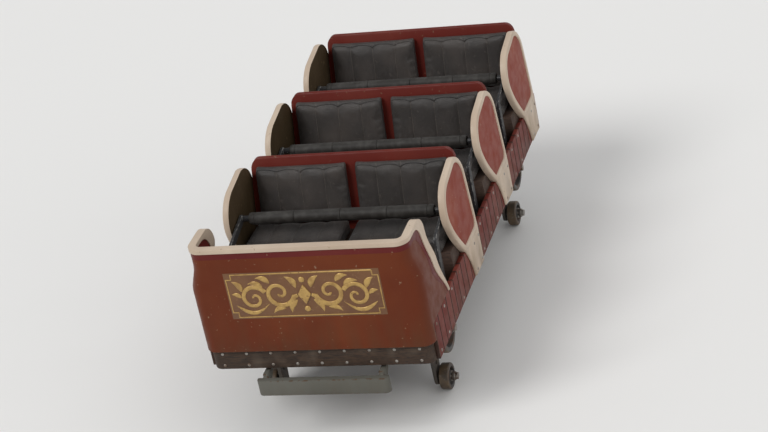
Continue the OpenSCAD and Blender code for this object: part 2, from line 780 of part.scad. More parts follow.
module drawbar() {
    z = frame_z + frame_h / 2;
    eye_y = tail_y + hitch_reach - hitch_w / 2;
    color("slategray") difference() {
        union() {
            translate([-hitch_w / 2, tail_y, z - hitch_t / 2])
                cube([hitch_w, hitch_reach - hitch_w / 2, hitch_t]);
            translate([0, eye_y, z - hitch_t / 2]) cylinder(r = hitch_w / 2, h = hitch_t);
            translate([-hitch_w, tail_y, z - hitch_w / 2])
                cube([2 * hitch_w, hitch_plate_t, hitch_w]);
            // Gussets above and below the tongue
            both_sides() along_x(hitch_w / 4, hitch_w / 4 + gusset_t) polygon([
                [tail_y, z - hitch_w / 2], [tail_y + hitch_w / 2, z], [tail_y, z + hitch_w / 2]]);
        }
        translate([0, eye_y, z - hitch_t]) cylinder(r = hitch_r, h = 2 * hitch_t);
    }
}

module brake_fins() {
    color("silver") for (side = [-1, 1])
        along_x(side * fin_x - fin_t / 2, side * fin_x + fin_t / 2) polygon([
            [-fin_len / 2, cross_z], [fin_slope - fin_len / 2, cross_z - fin_h],
            [fin_len / 2 - fin_slope, cross_z - fin_h], [fin_len / 2, cross_z]]);
}

module chain_dog() {
    eye = [-dog_y - dog_off, dog_z];
    tip = eye + [dog_reach, -dog_drop];
    color("slategray") difference() {
        along_x(-dog_t / 2, dog_t / 2) union() {
            translate(eye) circle(r = dog_r);
            polygon([eye + [0, dog_r], eye - [0, dog_r], tip - [dog_tip, 0], tip,
                     tip + [-dog_tip / 2, dog_drop / 3]]);
        }
        rod_x(-dog_t, dog_t, dog_pin_r + run_gap, eye[0], eye[1]);
    }
}

frame_rails();
cross_members();
axle(axle_ys[0], 1);  // front_axle
axle(axle_ys[1], -1);  // rear_axle
floor_deck();
side_panel();  // side_panel_left
mirror([1, 0, 0]) side_panel();  // side_panel_right
nose_shell();
nose_trim();
front_apron();
front_bumper();
rear_panel();
drawbar();
brake_fins();
chain_dog();
seat_bases();
seat_backs();
for (i = [0:2]) {
    wing_left(rows[i]);
    wing_right(rows[i]);
    cushions(rows[i]);
    back_pads(rows[i]);
    lap_bar(rows[i]);
}
for (end = [0, 1]) for (side = [-1, 1]) {
    corner = str(end == 0 ? "f" : "r", side > 0 ? "l" : "r");
    way = end == 0 ? 1 : -1;
    run_wheel(side, axle_ys[end]);
    stop_wheel(side, axle_ys[end]);
    guide_wheel(side, axle_ys[end], way);
}
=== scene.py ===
# Roller coaster lead car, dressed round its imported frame
import bpy
import math
from mathutils import Matrix, Quaternion, Vector
from mathutils.bvhtree import BVHTree


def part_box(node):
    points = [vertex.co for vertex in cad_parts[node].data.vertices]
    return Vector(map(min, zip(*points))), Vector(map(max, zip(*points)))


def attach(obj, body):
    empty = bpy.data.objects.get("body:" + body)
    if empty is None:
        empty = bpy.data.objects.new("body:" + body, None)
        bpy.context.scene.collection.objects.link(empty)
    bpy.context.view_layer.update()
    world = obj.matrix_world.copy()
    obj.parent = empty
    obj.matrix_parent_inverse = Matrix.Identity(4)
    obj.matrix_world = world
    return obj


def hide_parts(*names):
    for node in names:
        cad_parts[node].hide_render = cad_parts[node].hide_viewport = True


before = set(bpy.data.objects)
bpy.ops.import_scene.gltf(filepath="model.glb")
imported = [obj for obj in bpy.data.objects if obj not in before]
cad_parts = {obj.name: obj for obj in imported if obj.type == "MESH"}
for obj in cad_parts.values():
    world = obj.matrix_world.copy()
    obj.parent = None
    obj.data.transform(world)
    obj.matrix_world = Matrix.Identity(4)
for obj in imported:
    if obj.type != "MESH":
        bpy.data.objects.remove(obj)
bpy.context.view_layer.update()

corners = ("fl", "fr", "rl", "rr")
rowNumbers = (1, 2, 3)
sides = {"left": 1, "right": -1}
alongX, alongY, alongZ = Vector((1, 0, 0)), Vector((0, 1, 0)), Vector((0, 0, 1))
flipX = Matrix.Scale(-1, 4, alongX)


# Helpers that work as someone would in Blender's window

def freeSelection():
    if bpy.context.mode != "OBJECT":
        bpy.ops.object.mode_set(mode="OBJECT")
    bpy.ops.object.select_all(action="DESELECT")


def pick(piece):
    freeSelection()
    piece.select_set(True)
    bpy.context.view_layer.objects.active = piece
    return piece


def added():
    return bpy.context.view_layer.objects.active


def chooseFaces(piece, wanted):  # leaves the piece in edit mode with the wanted faces selected
    pick(piece)
    bpy.context.tool_settings.mesh_select_mode = (False, False, True)
    mesh = piece.data
    for group in (mesh.vertices, mesh.edges, mesh.polygons):
        group.foreach_set("select", [False] * len(group))
    for face in mesh.polygons:
        face.select = bool(wanted(face))
    bpy.ops.object.mode_set(mode="EDIT")


def chooseAll(piece):  # leaves the piece in edit mode with everything selected
    pick(piece)
    bpy.ops.object.mode_set(mode="EDIT")
    bpy.ops.mesh.select_all(action="SELECT")


def leaveEdit():
    bpy.ops.object.mode_set(mode="OBJECT")


def applyAll(piece):
    pick(piece)
    for modifier in list(piece.modifiers):
        bpy.ops.object.modifier_apply(modifier=modifier.name)


def settle(piece):
    pick(piece)
    bpy.ops.object.transform_apply(location=True, rotation=True, scale=True)
    return piece


def smooth(piece, degrees=35):
    pick(piece)
    bpy.ops.object.shade_smooth_by_angle(angle=math.radians(degrees))
    return piece


def soften(piece, width, segments=2, degrees=34, slot=-1):  # eases the sharp edges
    edge = piece.modifiers.new("edge", "BEVEL")
    edge.width = width
    edge.segments = segments
    edge.limit_method = "ANGLE"
    edge.angle_limit = math.radians(degrees)
    edge.material = slot
    applyAll(piece)
    return smooth(piece)


def closeUp(piece):  # merges what meets and turns the faces outwards
    chooseAll(piece)
    bpy.ops.mesh.remove_doubles(threshold=0.00002)
    bpy.ops.mesh.normals_make_consistent(inside=False)
    leaveEdit()
    return piece


def linked(name, data):
    piece = bpy.data.objects.new(name, data)
    bpy.context.scene.collection.objects.link(piece)
    return piece


def newMesh(name, points, edges=(), faces=()):
    mesh = bpy.data.meshes.new(name)
    mesh.from_pydata(points, edges, faces)
    return linked(name, mesh)


def copyOf(piece, matrix):
    twin = linked(piece.name, piece.data.copy())
    twin.data.transform(matrix)
    if matrix.determinant() < 0:
        twin.data.flip_normals()
    return twin


def joined(pieces):
    freeSelection()
    for piece in pieces:
        piece.select_set(True)
    bpy.context.view_layer.objects.active = pieces[0]
    if len(pieces) > 1:
        bpy.ops.object.join()
    return added()


def surfaceOf(piece):  # for casting rays at it
    return BVHTree.FromObject(piece, bpy.context.evaluated_depsgraph_get())


def fillIn(node, values):  # sets the values of a material node's sockets
    for socket, value in values.items():
        node.inputs[socket].default_value = value


def discard(piece):
    bpy.data.objects.remove(piece, do_unlink=True)


def boxAt(middle, size):
    bpy.ops.mesh.primitive_cube_add(size=1)
    piece = settle(added())
    piece.data.transform(Matrix.Translation(middle) @ Matrix.Diagonal((*size, 1)))
    return piece


def roundLine(points, radius, shares, closed=False, fineness=3):  # shares thin the line at its points
    curve = bpy.data.curves.new("line", "CURVE")
    curve.dimensions = "3D"
    curve.bevel_depth = radius
    curve.bevel_resolution = fineness
    curve.use_fill_caps = True
    line = curve.splines.new("POLY")
    line.points.add(len(points) - 1)
    for number, (knot, point) in enumerate(zip(line.points, points)):
        knot.co = (*point, 1)
        knot.radius = shares[number % len(shares)]
    line.use_cyclic_u = closed
    pick(linked("line", curve))
    bpy.ops.object.convert(target="MESH")
    return added()


def turnedTo(point, direction):  # takes a shape that stands up at the origin to a point and way
    turn = Vector(direction).to_track_quat("Z", "Y").to_matrix().to_4x4()
    return Matrix.Translation(point) @ turn


def dress(piece, materials):
    piece.data.materials.clear()
    for material in materials:
        piece.data.materials.append(material)
    return piece


def place(piece, name, body="chassis", stands=()):
    piece.name = name
    piece.data.name = name
    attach(piece, body)
    if stands:
        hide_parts(*stands)
    return piece


def castOf(node):  # a copy of a CAD solid with its loose triangles merged into whole faces
    piece = pick(linked(node + "Dressed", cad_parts[node].data.copy()))
    bpy.ops.mesh.customdata_custom_splitnormals_clear()
    chooseAll(piece)
    bpy.ops.mesh.remove_doubles(threshold=0.00002)
    bpy.ops.mesh.dissolve_limited(angle_limit=math.radians(0.6))
    leaveEdit()
    return piece


# Camera, light and floor

view = {"azimuth": 20.0, "elevation": 27.0, "roll": -12.0, "distance": 14.0, "lens": 112.0,
        "aim": (0.0, 0.0, 0.600), "floorSize": 240, "floorColour": (0.80, 0.79, 0.77),
        "skyColour": (0.81, 0.805, 0.79), "clipEnd": 400}
lamps = {"key": ((-3.4, -4.4, 5.6), 28, 1.55), "fill": ((5.6, -2.6, 3.4), 60, 0.75),
         "back": ((1.5, 5.5, 4.5), 45, 0.7)}  # place, spread in degrees, and strength


def setCamera():
    bpy.ops.object.camera_add()
    camera = added()
    camera.name = "camera"
    a, e = math.radians(view["azimuth"]), math.radians(view["elevation"])
    back = Vector((math.sin(a) * math.cos(e), -math.cos(a) * math.cos(e), math.sin(e)))
    camera.location = Vector(view["aim"]) + back * view["distance"]
    turn = (-back).to_track_quat("-Z", "Y") @ Quaternion(alongZ, math.radians(view["roll"]))
    camera.rotation_euler = turn.to_euler()
    camera.data.lens = view["lens"]
    camera.data.clip_end = view["clipEnd"]
    bpy.context.scene.camera = camera


def setLight():
    scene = bpy.context.scene
    scene.view_settings.view_transform = "Standard"
    for name, (spot, spread, strength) in lamps.items():
        bpy.ops.object.light_add(type="SUN", location=spot)
        lamp = added()
        lamp.name = name + "Lamp"
        lamp.data.angle = math.radians(spread)
        lamp.data.energy = strength
        lamp.rotation_euler = (-Vector(spot)).to_track_quat("-Z", "Y").to_euler()
    world = bpy.data.worlds.new("studio")
    scene.world = world
    world.use_nodes = True
    tree = world.node_tree
    sky = tree.nodes["Background"]
    fillIn(sky, {"Color": (0.95, 0.97, 1.0, 1), "Strength": 0.40})
    plain = tree.nodes.new("ShaderNodeBackground")
    fillIn(plain, {"Color": (*view["skyColour"], 1)})
    path = tree.nodes.new("ShaderNodeLightPath")
    mix = tree.nodes.new("ShaderNodeMixShader")
    tree.links.new(path.outputs["Is Camera Ray"], mix.inputs[0])
    tree.links.new(sky.outputs[0], mix.inputs[1])
    tree.links.new(plain.outputs[0], mix.inputs[2])
    tree.links.new(mix.outputs[0], tree.nodes["World Output"].inputs["Surface"])


def setFloor():
    bpy.ops.mesh.primitive_plane_add(size=view["floorSize"], location=(0, 0, 0))
    floor = added()
    floor.name = "floor"
    material = bpy.data.materials.new("floorPaper")
    material.use_nodes = True
    fillIn(material.node_tree.nodes["Principled BSDF"],
           {"Base Color": (*view["floorColour"], 1), "Roughness": 0.9})
    floor.data.materials.append(material)


setCamera()
setLight()
setFloor()
print("camera, light and floor set")


# Materials: each is a small node tree on Object coordinates, in metres

class Finish:
    def __init__(self, name, colour, rough=0.5, metal=0.0, coat=0.0, sheen=0.0, shine=0.5):
        self.material = bpy.data.materials.new(name)
        self.material.use_nodes = True
        self.tree = self.material.node_tree
        self.shader = self.tree.nodes["Principled BSDF"]
        self.colour, self.rough, self.normal = colour, rough, None
        fillIn(self.shader, {"Base Color": (*colour, 1), "Roughness": rough, "Metallic": metal,
                             "Coat Weight": coat, "Coat Roughness": 0.16, "Sheen Weight": sheen,
                             "Specular IOR Level": shine})
        self.coords = self.node("TexCoord").outputs["Object"]

    def node(self, kind, values=None):
        node = self.tree.nodes.new("ShaderNode" + kind)
        fillIn(node, values or {})
        return node

    def link(self, source, target):
        self.tree.links.new(source, target)

    def noise(self, scale, detail, stretch=(1, 1, 1), twist=0.0):
        mapping = self.node("Mapping", {"Scale": stretch})
        noise = self.node("TexNoise", {"Scale": scale, "Detail": detail, "Distortion": twist})
        self.link(self.coords, mapping.inputs["Vector"])
        self.link(mapping.outputs["Vector"], noise.inputs["Vector"])
        return noise.outputs["Fac"]

    def cells(self, scale):  # the distance to the edges of small cells
        cells = self.node("TexVoronoi", {"Scale": scale})
        cells.feature = "DISTANCE_TO_EDGE"
        self.link(self.coords, cells.inputs["Vector"])
        return cells.outputs["Distance"]

    def axis(self, letter):
        split = self.node("SeparateXYZ")
        self.link(self.coords, split.inputs[0])
        return split.outputs[letter]

    def span(self, value, low, high, toLow=0.0, toHigh=1.0):  # maps low to high onto toLow to toHigh
        span = self.node("MapRange", {"From Min": low, "From Max": high, "To Min": toLow, "To Max": toHigh})
        self.link(value, span.inputs["Value"])
        return span.outputs["Result"]

    def both(self, kind, first, second=0):  # a math node on one or two values or sockets
        node = self.node("Math")
        node.operation = kind
        for number, value in enumerate((first, second)):
            if isinstance(value, (int, float)):
                node.inputs[number].default_value = value
            else:
                self.link(value, node.inputs[number])
        return node.outputs[0]

    def boardShades(self, along, pitch, most):  # a share of 0 to most for each board, uneven but steady
        count = self.both("FLOOR", self.both("DIVIDE", along, pitch))
        golden = 0.618
        return self.both("MULTIPLY", self.both("FRACT", self.both("MULTIPLY", count, golden)), most)

    def fromSeam(self, along, pitch):  # the distance to the nearest seam between boards
        return self.both("PINGPONG", along, pitch / 2)

    def tint(self, mask, colour):  # lays a colour over what is there, where the mask is 1
        mix = self.node("Mix")
        mix.data_type = "RGBA"
        share, under, over = mix.inputs[0], mix.inputs[6], mix.inputs[7]  # the sockets for colours
        if isinstance(self.colour, tuple):
            under.default_value = (*self.colour, 1)
        else:
            self.link(self.colour, under)
        over.default_value = (*colour, 1)
        self.link(mask, share)
        self.colour = mix.outputs[2]
        self.link(self.colour, self.shader.inputs["Base Color"])

    def patch(self, colour, scale, detail, low, high, share, stretch=(1, 1, 1), twist=0.0):
        self.tint(self.span(self.noise(scale, detail, stretch, twist), low, high, 0, share), colour)

    def roughen(self, mask, rough):  # brings the roughness to a value where the mask is 1
        self.link(self.span(mask, 0, 1, self.rough, rough), self.shader.inputs["Roughness"])

    def bump(self, height, distance, strength=1.0):
        bump = self.node("Bump", {"Distance": distance, "Strength": strength})
        self.link(height, bump.inputs["Height"])
        if self.normal:
            self.link(self.normal, bump.inputs["Normal"])
        self.normal = bump.outputs["Normal"]
        self.link(self.normal, self.shader.inputs["Normal"])


paintLooks = {
    "nosePaint": {"colour": (0.120, 0.0215, 0.005), "faded": (0.160, 0.036, 0.009), "rough": 0.38,
                  "coat": 0.03, "bare": (0.26, 0.16, 0.10), "dust": (0.085, 0.040, 0.016),
                  "dustTop": 0.86, "dustLevel": 0.55},
    "borderPaint": {"colour": (0.105, 0.008, 0.008), "faded": (0.140, 0.018, 0.014), "rough": 0.38,
                    "coat": 0.10, "bare": (0.26, 0.16, 0.10), "dust": (0.085, 0.042, 0.020),
                    "dustTop": 0.70, "dustLevel": 0.4},
    "redPaint": {"colour": (0.120, 0.013, 0.008), "faded": (0.160, 0.028, 0.017), "rough": 0.46,
                 "coat": 0.04, "bare": (0.19, 0.115, 0.07), "dust": (0.080, 0.045, 0.028),
                 "dustTop": 0.72, "dustLevel": 0.65},
    "creamPaint": {"colour": (0.57, 0.46, 0.355), "faded": (0.46, 0.35, 0.26), "rough": 0.40,
                   "coat": 0.08, "bare": (0.30, 0.22, 0.15), "dust": (0.24, 0.17, 0.115),
                   "dustTop": 0.80, "dustLevel": 0.75},
    "wingField": {"colour": (0.215, 0.032, 0.016), "faded": (0.285, 0.070, 0.036), "rough": 0.46,
                  "coat": 0.05, "bare": (0.33, 0.22, 0.16), "dust": (0.15, 0.08, 0.05),
                  "dustTop": 0.86, "dustLevel": 0.5},
    "wingInner": {"colour": (0.052, 0.034, 0.016), "faded": (0.085, 0.058, 0.032), "rough": 0.5,
                  "coat": 0.0, "bare": (0.24, 0.17, 0.10), "dust": (0.12, 0.085, 0.055),
                  "dustTop": 0.86, "dustLevel": 0.5},
    "barPaint": {"colour": (0.028, 0.028, 0.031), "faded": (0.055, 0.053, 0.050), "rough": 0.38,
                 "coat": 0.1, "bare": (0.28, 0.27, 0.25), "dust": (0.10, 0.08, 0.06),
                 "dustTop": 0.78, "dustLevel": 0.4},
    "bumperPaint": {"colour": (0.125, 0.122, 0.104), "faded": (0.092, 0.088, 0.072), "rough": 0.5,
                    "coat": 0.0, "bare": (0.085, 0.048, 0.028), "dust": (0.10, 0.078, 0.055),
                    "dustTop": 0.46, "dustLevel": 0.7},
    "framePaint": {"colour": (0.046, 0.041, 0.038), "faded": (0.085, 0.062, 0.046), "rough": 0.58,
                   "coat": 0.0, "bare": (0.16, 0.085, 0.050), "dust": (0.13, 0.09, 0.065),
                   "dustTop": 0.62, "dustLevel": 0.5},
    "axlePaint": {"colour": (0.062, 0.058, 0.054), "faded": (0.10, 0.08, 0.062), "rough": 0.46,
                  "coat": 0.0, "bare": (0.19, 0.10, 0.055), "dust": (0.11, 0.085, 0.06),
                  "dustTop": 0.55, "dustLevel": 0.4},
}
boards = {"pitch": 0.090, "gap": 0.0042, "grimeWidth": 0.009, "grime": (0.028, 0.012, 0.008),
          "faded": (0.230, 0.060, 0.042), "fading": 0.45}
wear = {"chipsOnEdges": 0.52, "chipsOnFaces": 0.69, "chipEdge": 0.03, "chipSize": 48, "shine": 0.17,
        "dullBy": 0.22, "dustReach": 0.35}


def paint(name, edge=False, grooves=False):  # edge gives the chipped paint of a piece's corners
    look = paintLooks[name]
    chip = wear["chipsOnEdges"] if edge else wear["chipsOnFaces"]
    ending = ("Edge" if edge else "") + ("Boards" if grooves else "")
    finish = Finish(name + ending, look["colour"], look["rough"], coat=look["coat"], shine=wear["shine"])
    finish.patch(look["faded"], 2.2, 5, 0.44, 0.68, 0.7)
    finish.patch(look["faded"], 38, 4, 0.66, 0.74, 0.4, stretch=(0.5, 1, 9))
    if grooves:  # grime lies in and beside the grooves between the boards
        along = finish.both("SUBTRACT", finish.axis("Y"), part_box("side_panel_left")[0].y)
        finish.tint(finish.boardShades(along, boards["pitch"], boards["fading"]), boards["faded"])
        away = finish.fromSeam(along, boards["pitch"])
        ragged = finish.both("MULTIPLY", finish.noise(22, 5, (1, 1, 0.3)), 2 * boards["grimeWidth"])
        finish.tint(finish.both("LESS_THAN", away, boards["gap"]), boards["grime"])
        finish.tint(finish.both("MULTIPLY", finish.both("LESS_THAN", away, ragged), 0.45), boards["grime"])
    finish.patch(look["bare"], wear["chipSize"], 7, chip, chip + wear["chipEdge"], 0.85, twist=0.15)
    low = finish.span(finish.axis("Z"), look["dustTop"] - wear["dustReach"], look["dustTop"], 1, 0.08)
    streaks = finish.span(finish.noise(16, 6, (1, 1, 0.22)), 0.34, 0.64)
    grime = finish.both("MULTIPLY", finish.both("MULTIPLY", low, streaks), look["dustLevel"])
    finish.tint(grime, look["dust"])
    finish.roughen(finish.span(finish.noise(14, 5), 0.4, 0.7), look["rough"] + wear["dullBy"])
    finish.bump(finish.noise(240, 2), 0.0002)
    finish.bump(finish.noise(7, 3), 0.0010, 0.4)
    return finish.material


woodLooks = {
    "deckWood": {"dark": (0.075, 0.048, 0.030), "light": (0.17, 0.115, 0.072), "stretch": (9, 1, 9)},
    "apronWood": {"dark": (0.020, 0.012, 0.008), "light": (0.060, 0.034, 0.020), "stretch": (1, 9, 9)},
    "seatWood": {"dark": (0.030, 0.017, 0.012), "light": (0.070, 0.040, 0.028), "stretch": (1, 9, 9)},
}
planks = {"pitch": 0.142, "seam": 0.0018, "pale": (0.13, 0.098, 0.070), "fading": 0.6,
          "gapColour": (0.014, 0.010, 0.008)}


def wood(name):
    look = woodLooks[name]
    finish = Finish(name, look["dark"], 0.58, shine=0.35)
    grain = finish.noise(15, 9, look["stretch"], 1.4)
    finish.tint(finish.span(grain, 0.34, 0.64), look["light"])
    finish.patch(look["dark"], 3, 4, 0.5, 0.75, 0.6)
    finish.patch((0.14, 0.105, 0.075), 9, 7, 0.5, 0.8, 0.5)
    if name == "deckWood":  # planks laid along the car
        across = finish.axis("X")
        finish.tint(finish.boardShades(across, planks["pitch"], planks["fading"]), planks["pale"])
        away = finish.fromSeam(across, planks["pitch"])
        finish.tint(finish.both("LESS_THAN", away, planks["seam"]), planks["gapColour"])
    finish.roughen(finish.span(grain, 0.3, 0.7), 0.75)
    finish.bump(grain, 0.0012)
    return finish.material


def vinyl(name, colour):
    finish = Finish(name, colour, 0.36, sheen=0.1, shine=0.5)
    finish.patch((0.062, 0.049, 0.041), 5, 5, 0.42, 0.72, 0.75)
    finish.patch((0.10, 0.083, 0.07), 45, 6, 0.62, 0.72, 0.5, twist=0.8)
    finish.bump(finish.span(finish.cells(430), 0.0, 0.25), 0.00035)
    finish.bump(finish.noise(24, 5, twist=1.0), 0.0022, 0.7)
    finish.roughen(finish.span(finish.noise(18, 4), 0.35, 0.7), 0.52)
    return finish.material


plainLooks = {  # patches: colour, scale, detail, low, high, share; bumps: scale, detail, height, strength
    "thread": ({"name": "padThread", "colour": (0.13, 0.11, 0.09), "rough": 0.7, "sheen": 0.2, "shine": 0.3},
               [((0.07, 0.058, 0.048), 30, 5, 0.4, 0.7, 1)], [(900, 2, 0.0003)]),
    "rubber": ({"name": "sleeveRubber", "colour": (0.024, 0.021, 0.018), "rough": 0.62, "shine": 0.35},
               [((0.062, 0.058, 0.052), 24, 6, 0.46, 0.72, 0.7)],
               [(320, 3, 0.0004), (20, 4, 0.0010, 0.5)]),
    "tyre": ({"name": "tyreCompound", "colour": (0.100, 0.064, 0.034)},
             [((0.040, 0.031, 0.025), 18, 6, 0.40, 0.68, 0.85), ((0.17, 0.15, 0.12), 75, 5, 0.60, 0.70, 0.5)],
             [(180, 4, 0.0005)]),
    "cast": ({"name": "castIron", "colour": (0.105, 0.10, 0.095), "metal": 0.55},
             [((0.17, 0.085, 0.042), 14, 7, 0.48, 0.70, 0.8), ((0.022, 0.018, 0.015), 6, 4, 0.48, 0.66, 0.8)],
             [(260, 4, 0.0006)]),
    "fastener": ({"name": "zincBolt", "colour": (0.34, 0.32, 0.29), "rough": 0.42, "metal": 0.9},
                 [((0.13, 0.068, 0.036), 28, 5, 0.46, 0.66, 0.9)], [(400, 3, 0.0003)]),
    "gold": ({"name": "goldLeaf", "colour": (0.50, 0.315, 0.095), "rough": 0.40, "metal": 0.35, "coat": 0.15},
             [((0.30, 0.165, 0.050), 26, 6, 0.44, 0.68, 0.75), ((0.12, 0.045, 0.02), 90, 5, 0.62, 0.68, 0.8)],
             [(150, 4, 0.0006)]),
    "glaze": ({"name": "ochreGlaze", "colour": (0.165, 0.072, 0.024), "rough": 0.42, "coat": 0.2,
               "shine": 0.4},
              [((0.115, 0.042, 0.016), 6, 6, 0.40, 0.66, 0.8), ((0.25, 0.14, 0.06), 60, 6, 0.62, 0.68, 0.6)],
              [(240, 2, 0.0002)]),
}


def plain(shader, patches, bumps):
    finish = Finish(**shader)
    for patch in patches:
        finish.patch(*patch)
    for scale, detail, *height in bumps:
        finish.bump(finish.noise(scale, detail), *height)
    return finish.material


def steel():
    finish = Finish("brightSteel", (0.46, 0.45, 0.43), 0.33, metal=1.0)
    finish.patch((0.20, 0.15, 0.11), 20, 6, 0.5, 0.75, 0.8)
    brushed = finish.noise(60, 4, (1, 0.06, 8))
    finish.roughen(finish.span(brushed, 0.3, 0.7), 0.5)
    finish.bump(brushed, 0.0003)
    return finish.material


looks = {name: paint(name) for name in paintLooks}
looks.update({name + "Edge": paint(name, True) for name in paintLooks})
looks["boardPaint"] = paint("redPaint", grooves=True)
looks["boardPaintEdge"] = paint("redPaint", True, True)
looks.update({name: wood(name) for name in woodLooks})
looks.update({name: plain(*sizes) for name, sizes in plainLooks.items()})
looks.update({"vinyl": vinyl("padVinyl", (0.026, 0.021, 0.018)),
              "piping": vinyl("padPiping", (0.016, 0.013, 0.012)), "steel": steel()})
print("materials made:", len(looks))


# Rigid pieces that keep their CAD form: paint on the faces, chipped paint on the eased edges

rigidPieces = {  # look, slot, and width of the eased edges
    "nose_shell": ("nosePaint", "nose_paint", 0.004),
    "front_apron": ("apronWood", "apron_wood", 0.004),
    "side_panel_left": ("boardPaint", "red_paint", 0.002),
    "side_panel_right": ("boardPaint", "red_paint", 0.002),
    "rear_panel": ("redPaint", "red_paint", 0.003),
    "seat_backs": ("redPaint", "red_paint", 0.003),
    "seat_bases": ("seatWood", "seat_wood", 0.004),
    "floor_deck": ("deckWood", "deck_wood", 0.002),
    "frame_rails": ("framePaint", "frame_steel", 0.002),
    "cross_members": ("framePaint", "frame_steel", 0.002),
    "front_axle": ("axlePaint", "axle_steel", 0.002),
    "rear_axle": ("axlePaint", "axle_steel", 0.002),
    "front_bumper": ("bumperPaint", "bumper_paint", 0.006),
    "drawbar": ("axlePaint", "axle_steel", 0.002),
    "brake_fins": ("steel", "bare_steel", 0.002),
    "chain_dog": ("axlePaint", "axle_steel", 0.003),
}


def dressRigid():
    for node, (look, slot, width) in rigidPieces.items():
        piece = dress(castOf(node), [looks[look], looks.get(look + "Edge", looks[look])])
        soften(piece, width, 2, 65, 1)
        body = "chain_dog" if node == "chain_dog" else "chassis"
        place(piece, node + "Dressed", body, [node])


dressRigid()
print("rigid pieces dressed")


# Nose: pale moulding, dark border line below it, and a gilt scroll panel on its face

nose = {"borderProud": 0.0008, "border": (0.040, 0.036, 0.012), "panelSize": (1.03, 0.345),
        "panelScale": 0.86, "panelHeight": 0.940, "panelProud": 0.0012, "margin": 0.012,
        "lineWidth": 0.011, "lineInset": 0.020, "notch": 0.035, "relief": 0.34, "leafRelief": 0.32,
        "lozenge": 0.070, "ball": 0.020, "ballRise": 0.104}
cheek = {"topLength": 0.210, "radius": 0.110, "length": 0.430, "turn": -20, "ahead": 0.05,
         "topPull": (-0.050, -0.150), "footPull": (-0.040, 0.110),
         "trim": (0.070, 0.026, 0.022)}  # the same figures as the nose's side outline in the CAD source

# The left half of the scrollwork, in metres from the panel's middle before it is scaled
curls = ({"stem": [(0.045, -0.005, 0.6)], "centre": (0.165, 0.012), "radius": 0.092, "start": 196,
          "turns": 1.3, "width": 0.036},
         {"stem": [], "centre": (0.335, -0.020), "radius": 0.083, "start": 152, "turns": -1.3,
          "width": 0.033})
leaves = (((0.462, -0.066), (0.244, -0.062), 0.030, 0.27),  # root, tip, width and bow
          ((0.050, 0.046), (0.110, 0.128), 0.044, 0.18),
          ((0.215, 0.084), (0.300, 0.124), 0.042, 0.18),
          ((0.265, 0.055), (0.358, 0.084), 0.038, 0.18),
          ((0.408, 0.030), (0.462, 0.104), 0.042, 0.18),
          ((0.418, -0.014), (0.478, 0.012), 0.032, 0.18),
          ((0.052, -0.040), (0.104, -0.128), 0.044, 0.18),
          ((0.140, -0.096), (0.226, -0.128), 0.034, 0.18))


def noseOutline(back, down, foot):  # (y, z) points: level top, round cheek, scallop to the foot
    trimLow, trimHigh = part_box("nose_trim")
    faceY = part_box("nose_shell")[0].y
    topZ, footZ = trimHigh.z - down, trimLow.z
    r = cheek["radius"]
    centre = Vector((faceY + cheek["topLength"] - back, topZ - r))
    points = [Vector((faceY - cheek["ahead"], topZ))]
    for step in range(9):
        a = math.radians(90 + (cheek["turn"] - 90) * step / 8)
        points.append(centre + r * Vector((math.cos(a), math.sin(a))))
    start, end = points[-1], Vector((faceY + cheek["length"] - foot, footZ))
    pulls = start + Vector(cheek["topPull"]), end + Vector(cheek["footPull"])
    for step in range(1, 11):
        t = step / 10
        s = 1 - t
        points.append(s ** 3 * start + 3 * s * s * t * pulls[0] + 3 * s * t * t * pulls[1] + t ** 3 * end)
    points.append(Vector((faceY - cheek["ahead"], footZ)))
    return points


def prismAcross(points, halfWidth):  # a (y, z) outline stretched across the car
    count = len(points)
    ring = [(x, p[0], p[1]) for x in (-halfWidth, halfWidth) for p in points]
    faces = [tuple(range(count)), tuple(range(2 * count - 1, count - 1, -1))]
    faces += [(i, i + count, (i + 1) % count + count, (i + 1) % count) for i in range(count)]
    return closeUp(newMesh("prism", ring, faces=faces))


def cutWith(piece, tool, kind):
    cut = piece.modifiers.new("cut", "BOOLEAN")
    cut.operation = kind
    cut.solver = "EXACT"
    cut.object = tool
    applyAll(piece)
    discard(tool)


def makeTrim():
    piece = dress(castOf("nose_trim"), [looks["creamPaint"]])
    soften(piece, 0.009, 4, 50)
    place(piece, "noseTrimDressed", stands=["nose_trim"])


def makeBorder():  # a thin skin of the nose, cut to a line that follows its moulding
    piece = castOf("nose_shell")
    skin = piece.modifiers.new("skin", "DISPLACE")
    skin.mid_level = 0
    skin.strength = nose["borderProud"]
    applyAll(piece)
    inner = [own + more for own, more in zip(cheek["trim"], nose["border"])]
    cutWith(piece, prismAcross(noseOutline(*cheek["trim"]), 1.0), "INTERSECT")
    cutWith(piece, prismAcross(noseOutline(*inner), 1.1), "DIFFERENCE")
    dress(piece, [looks["borderPaint"]])
    smooth(piece)
    place(piece, "noseBorder")


def stroke(points, width, thick):  # a flattened line through (x, z, share of the width) points
    shares = [share for x, z, share in points]
    piece = roundLine([(x, 0, z) for x, z, share in points], width / 2, shares)
    piece.data.transform(Matrix.Scale(thick, 4, alongY))
    return piece


def spiral(centre, radius, start, turns):  # curls in from the start angle, and thins
    points = []
    for step in range(45):
        t = step / 44
        a = math.radians(start + 360 * turns * t)
        r = radius * (1 - t) ** 0.8 + 0.006
        points.append((centre[0] + r * math.cos(a), centre[1] + r * math.sin(a), 1 - 0.55 * t))
    return points


def leaf(root, tip, width, bow):
    root, tip = Vector(root), Vector(tip)
    side = Vector((-(tip - root).y, (tip - root).x)) * bow
    points = []
    for step in range(17):
        t = step / 16
        at = root.lerp(tip, t) + side * math.sin(math.pi * t)
        points.append((at.x, at.y, max(0.06, math.sin(math.pi * t ** 0.8))))
    return stroke(points, width, nose["leafRelief"])


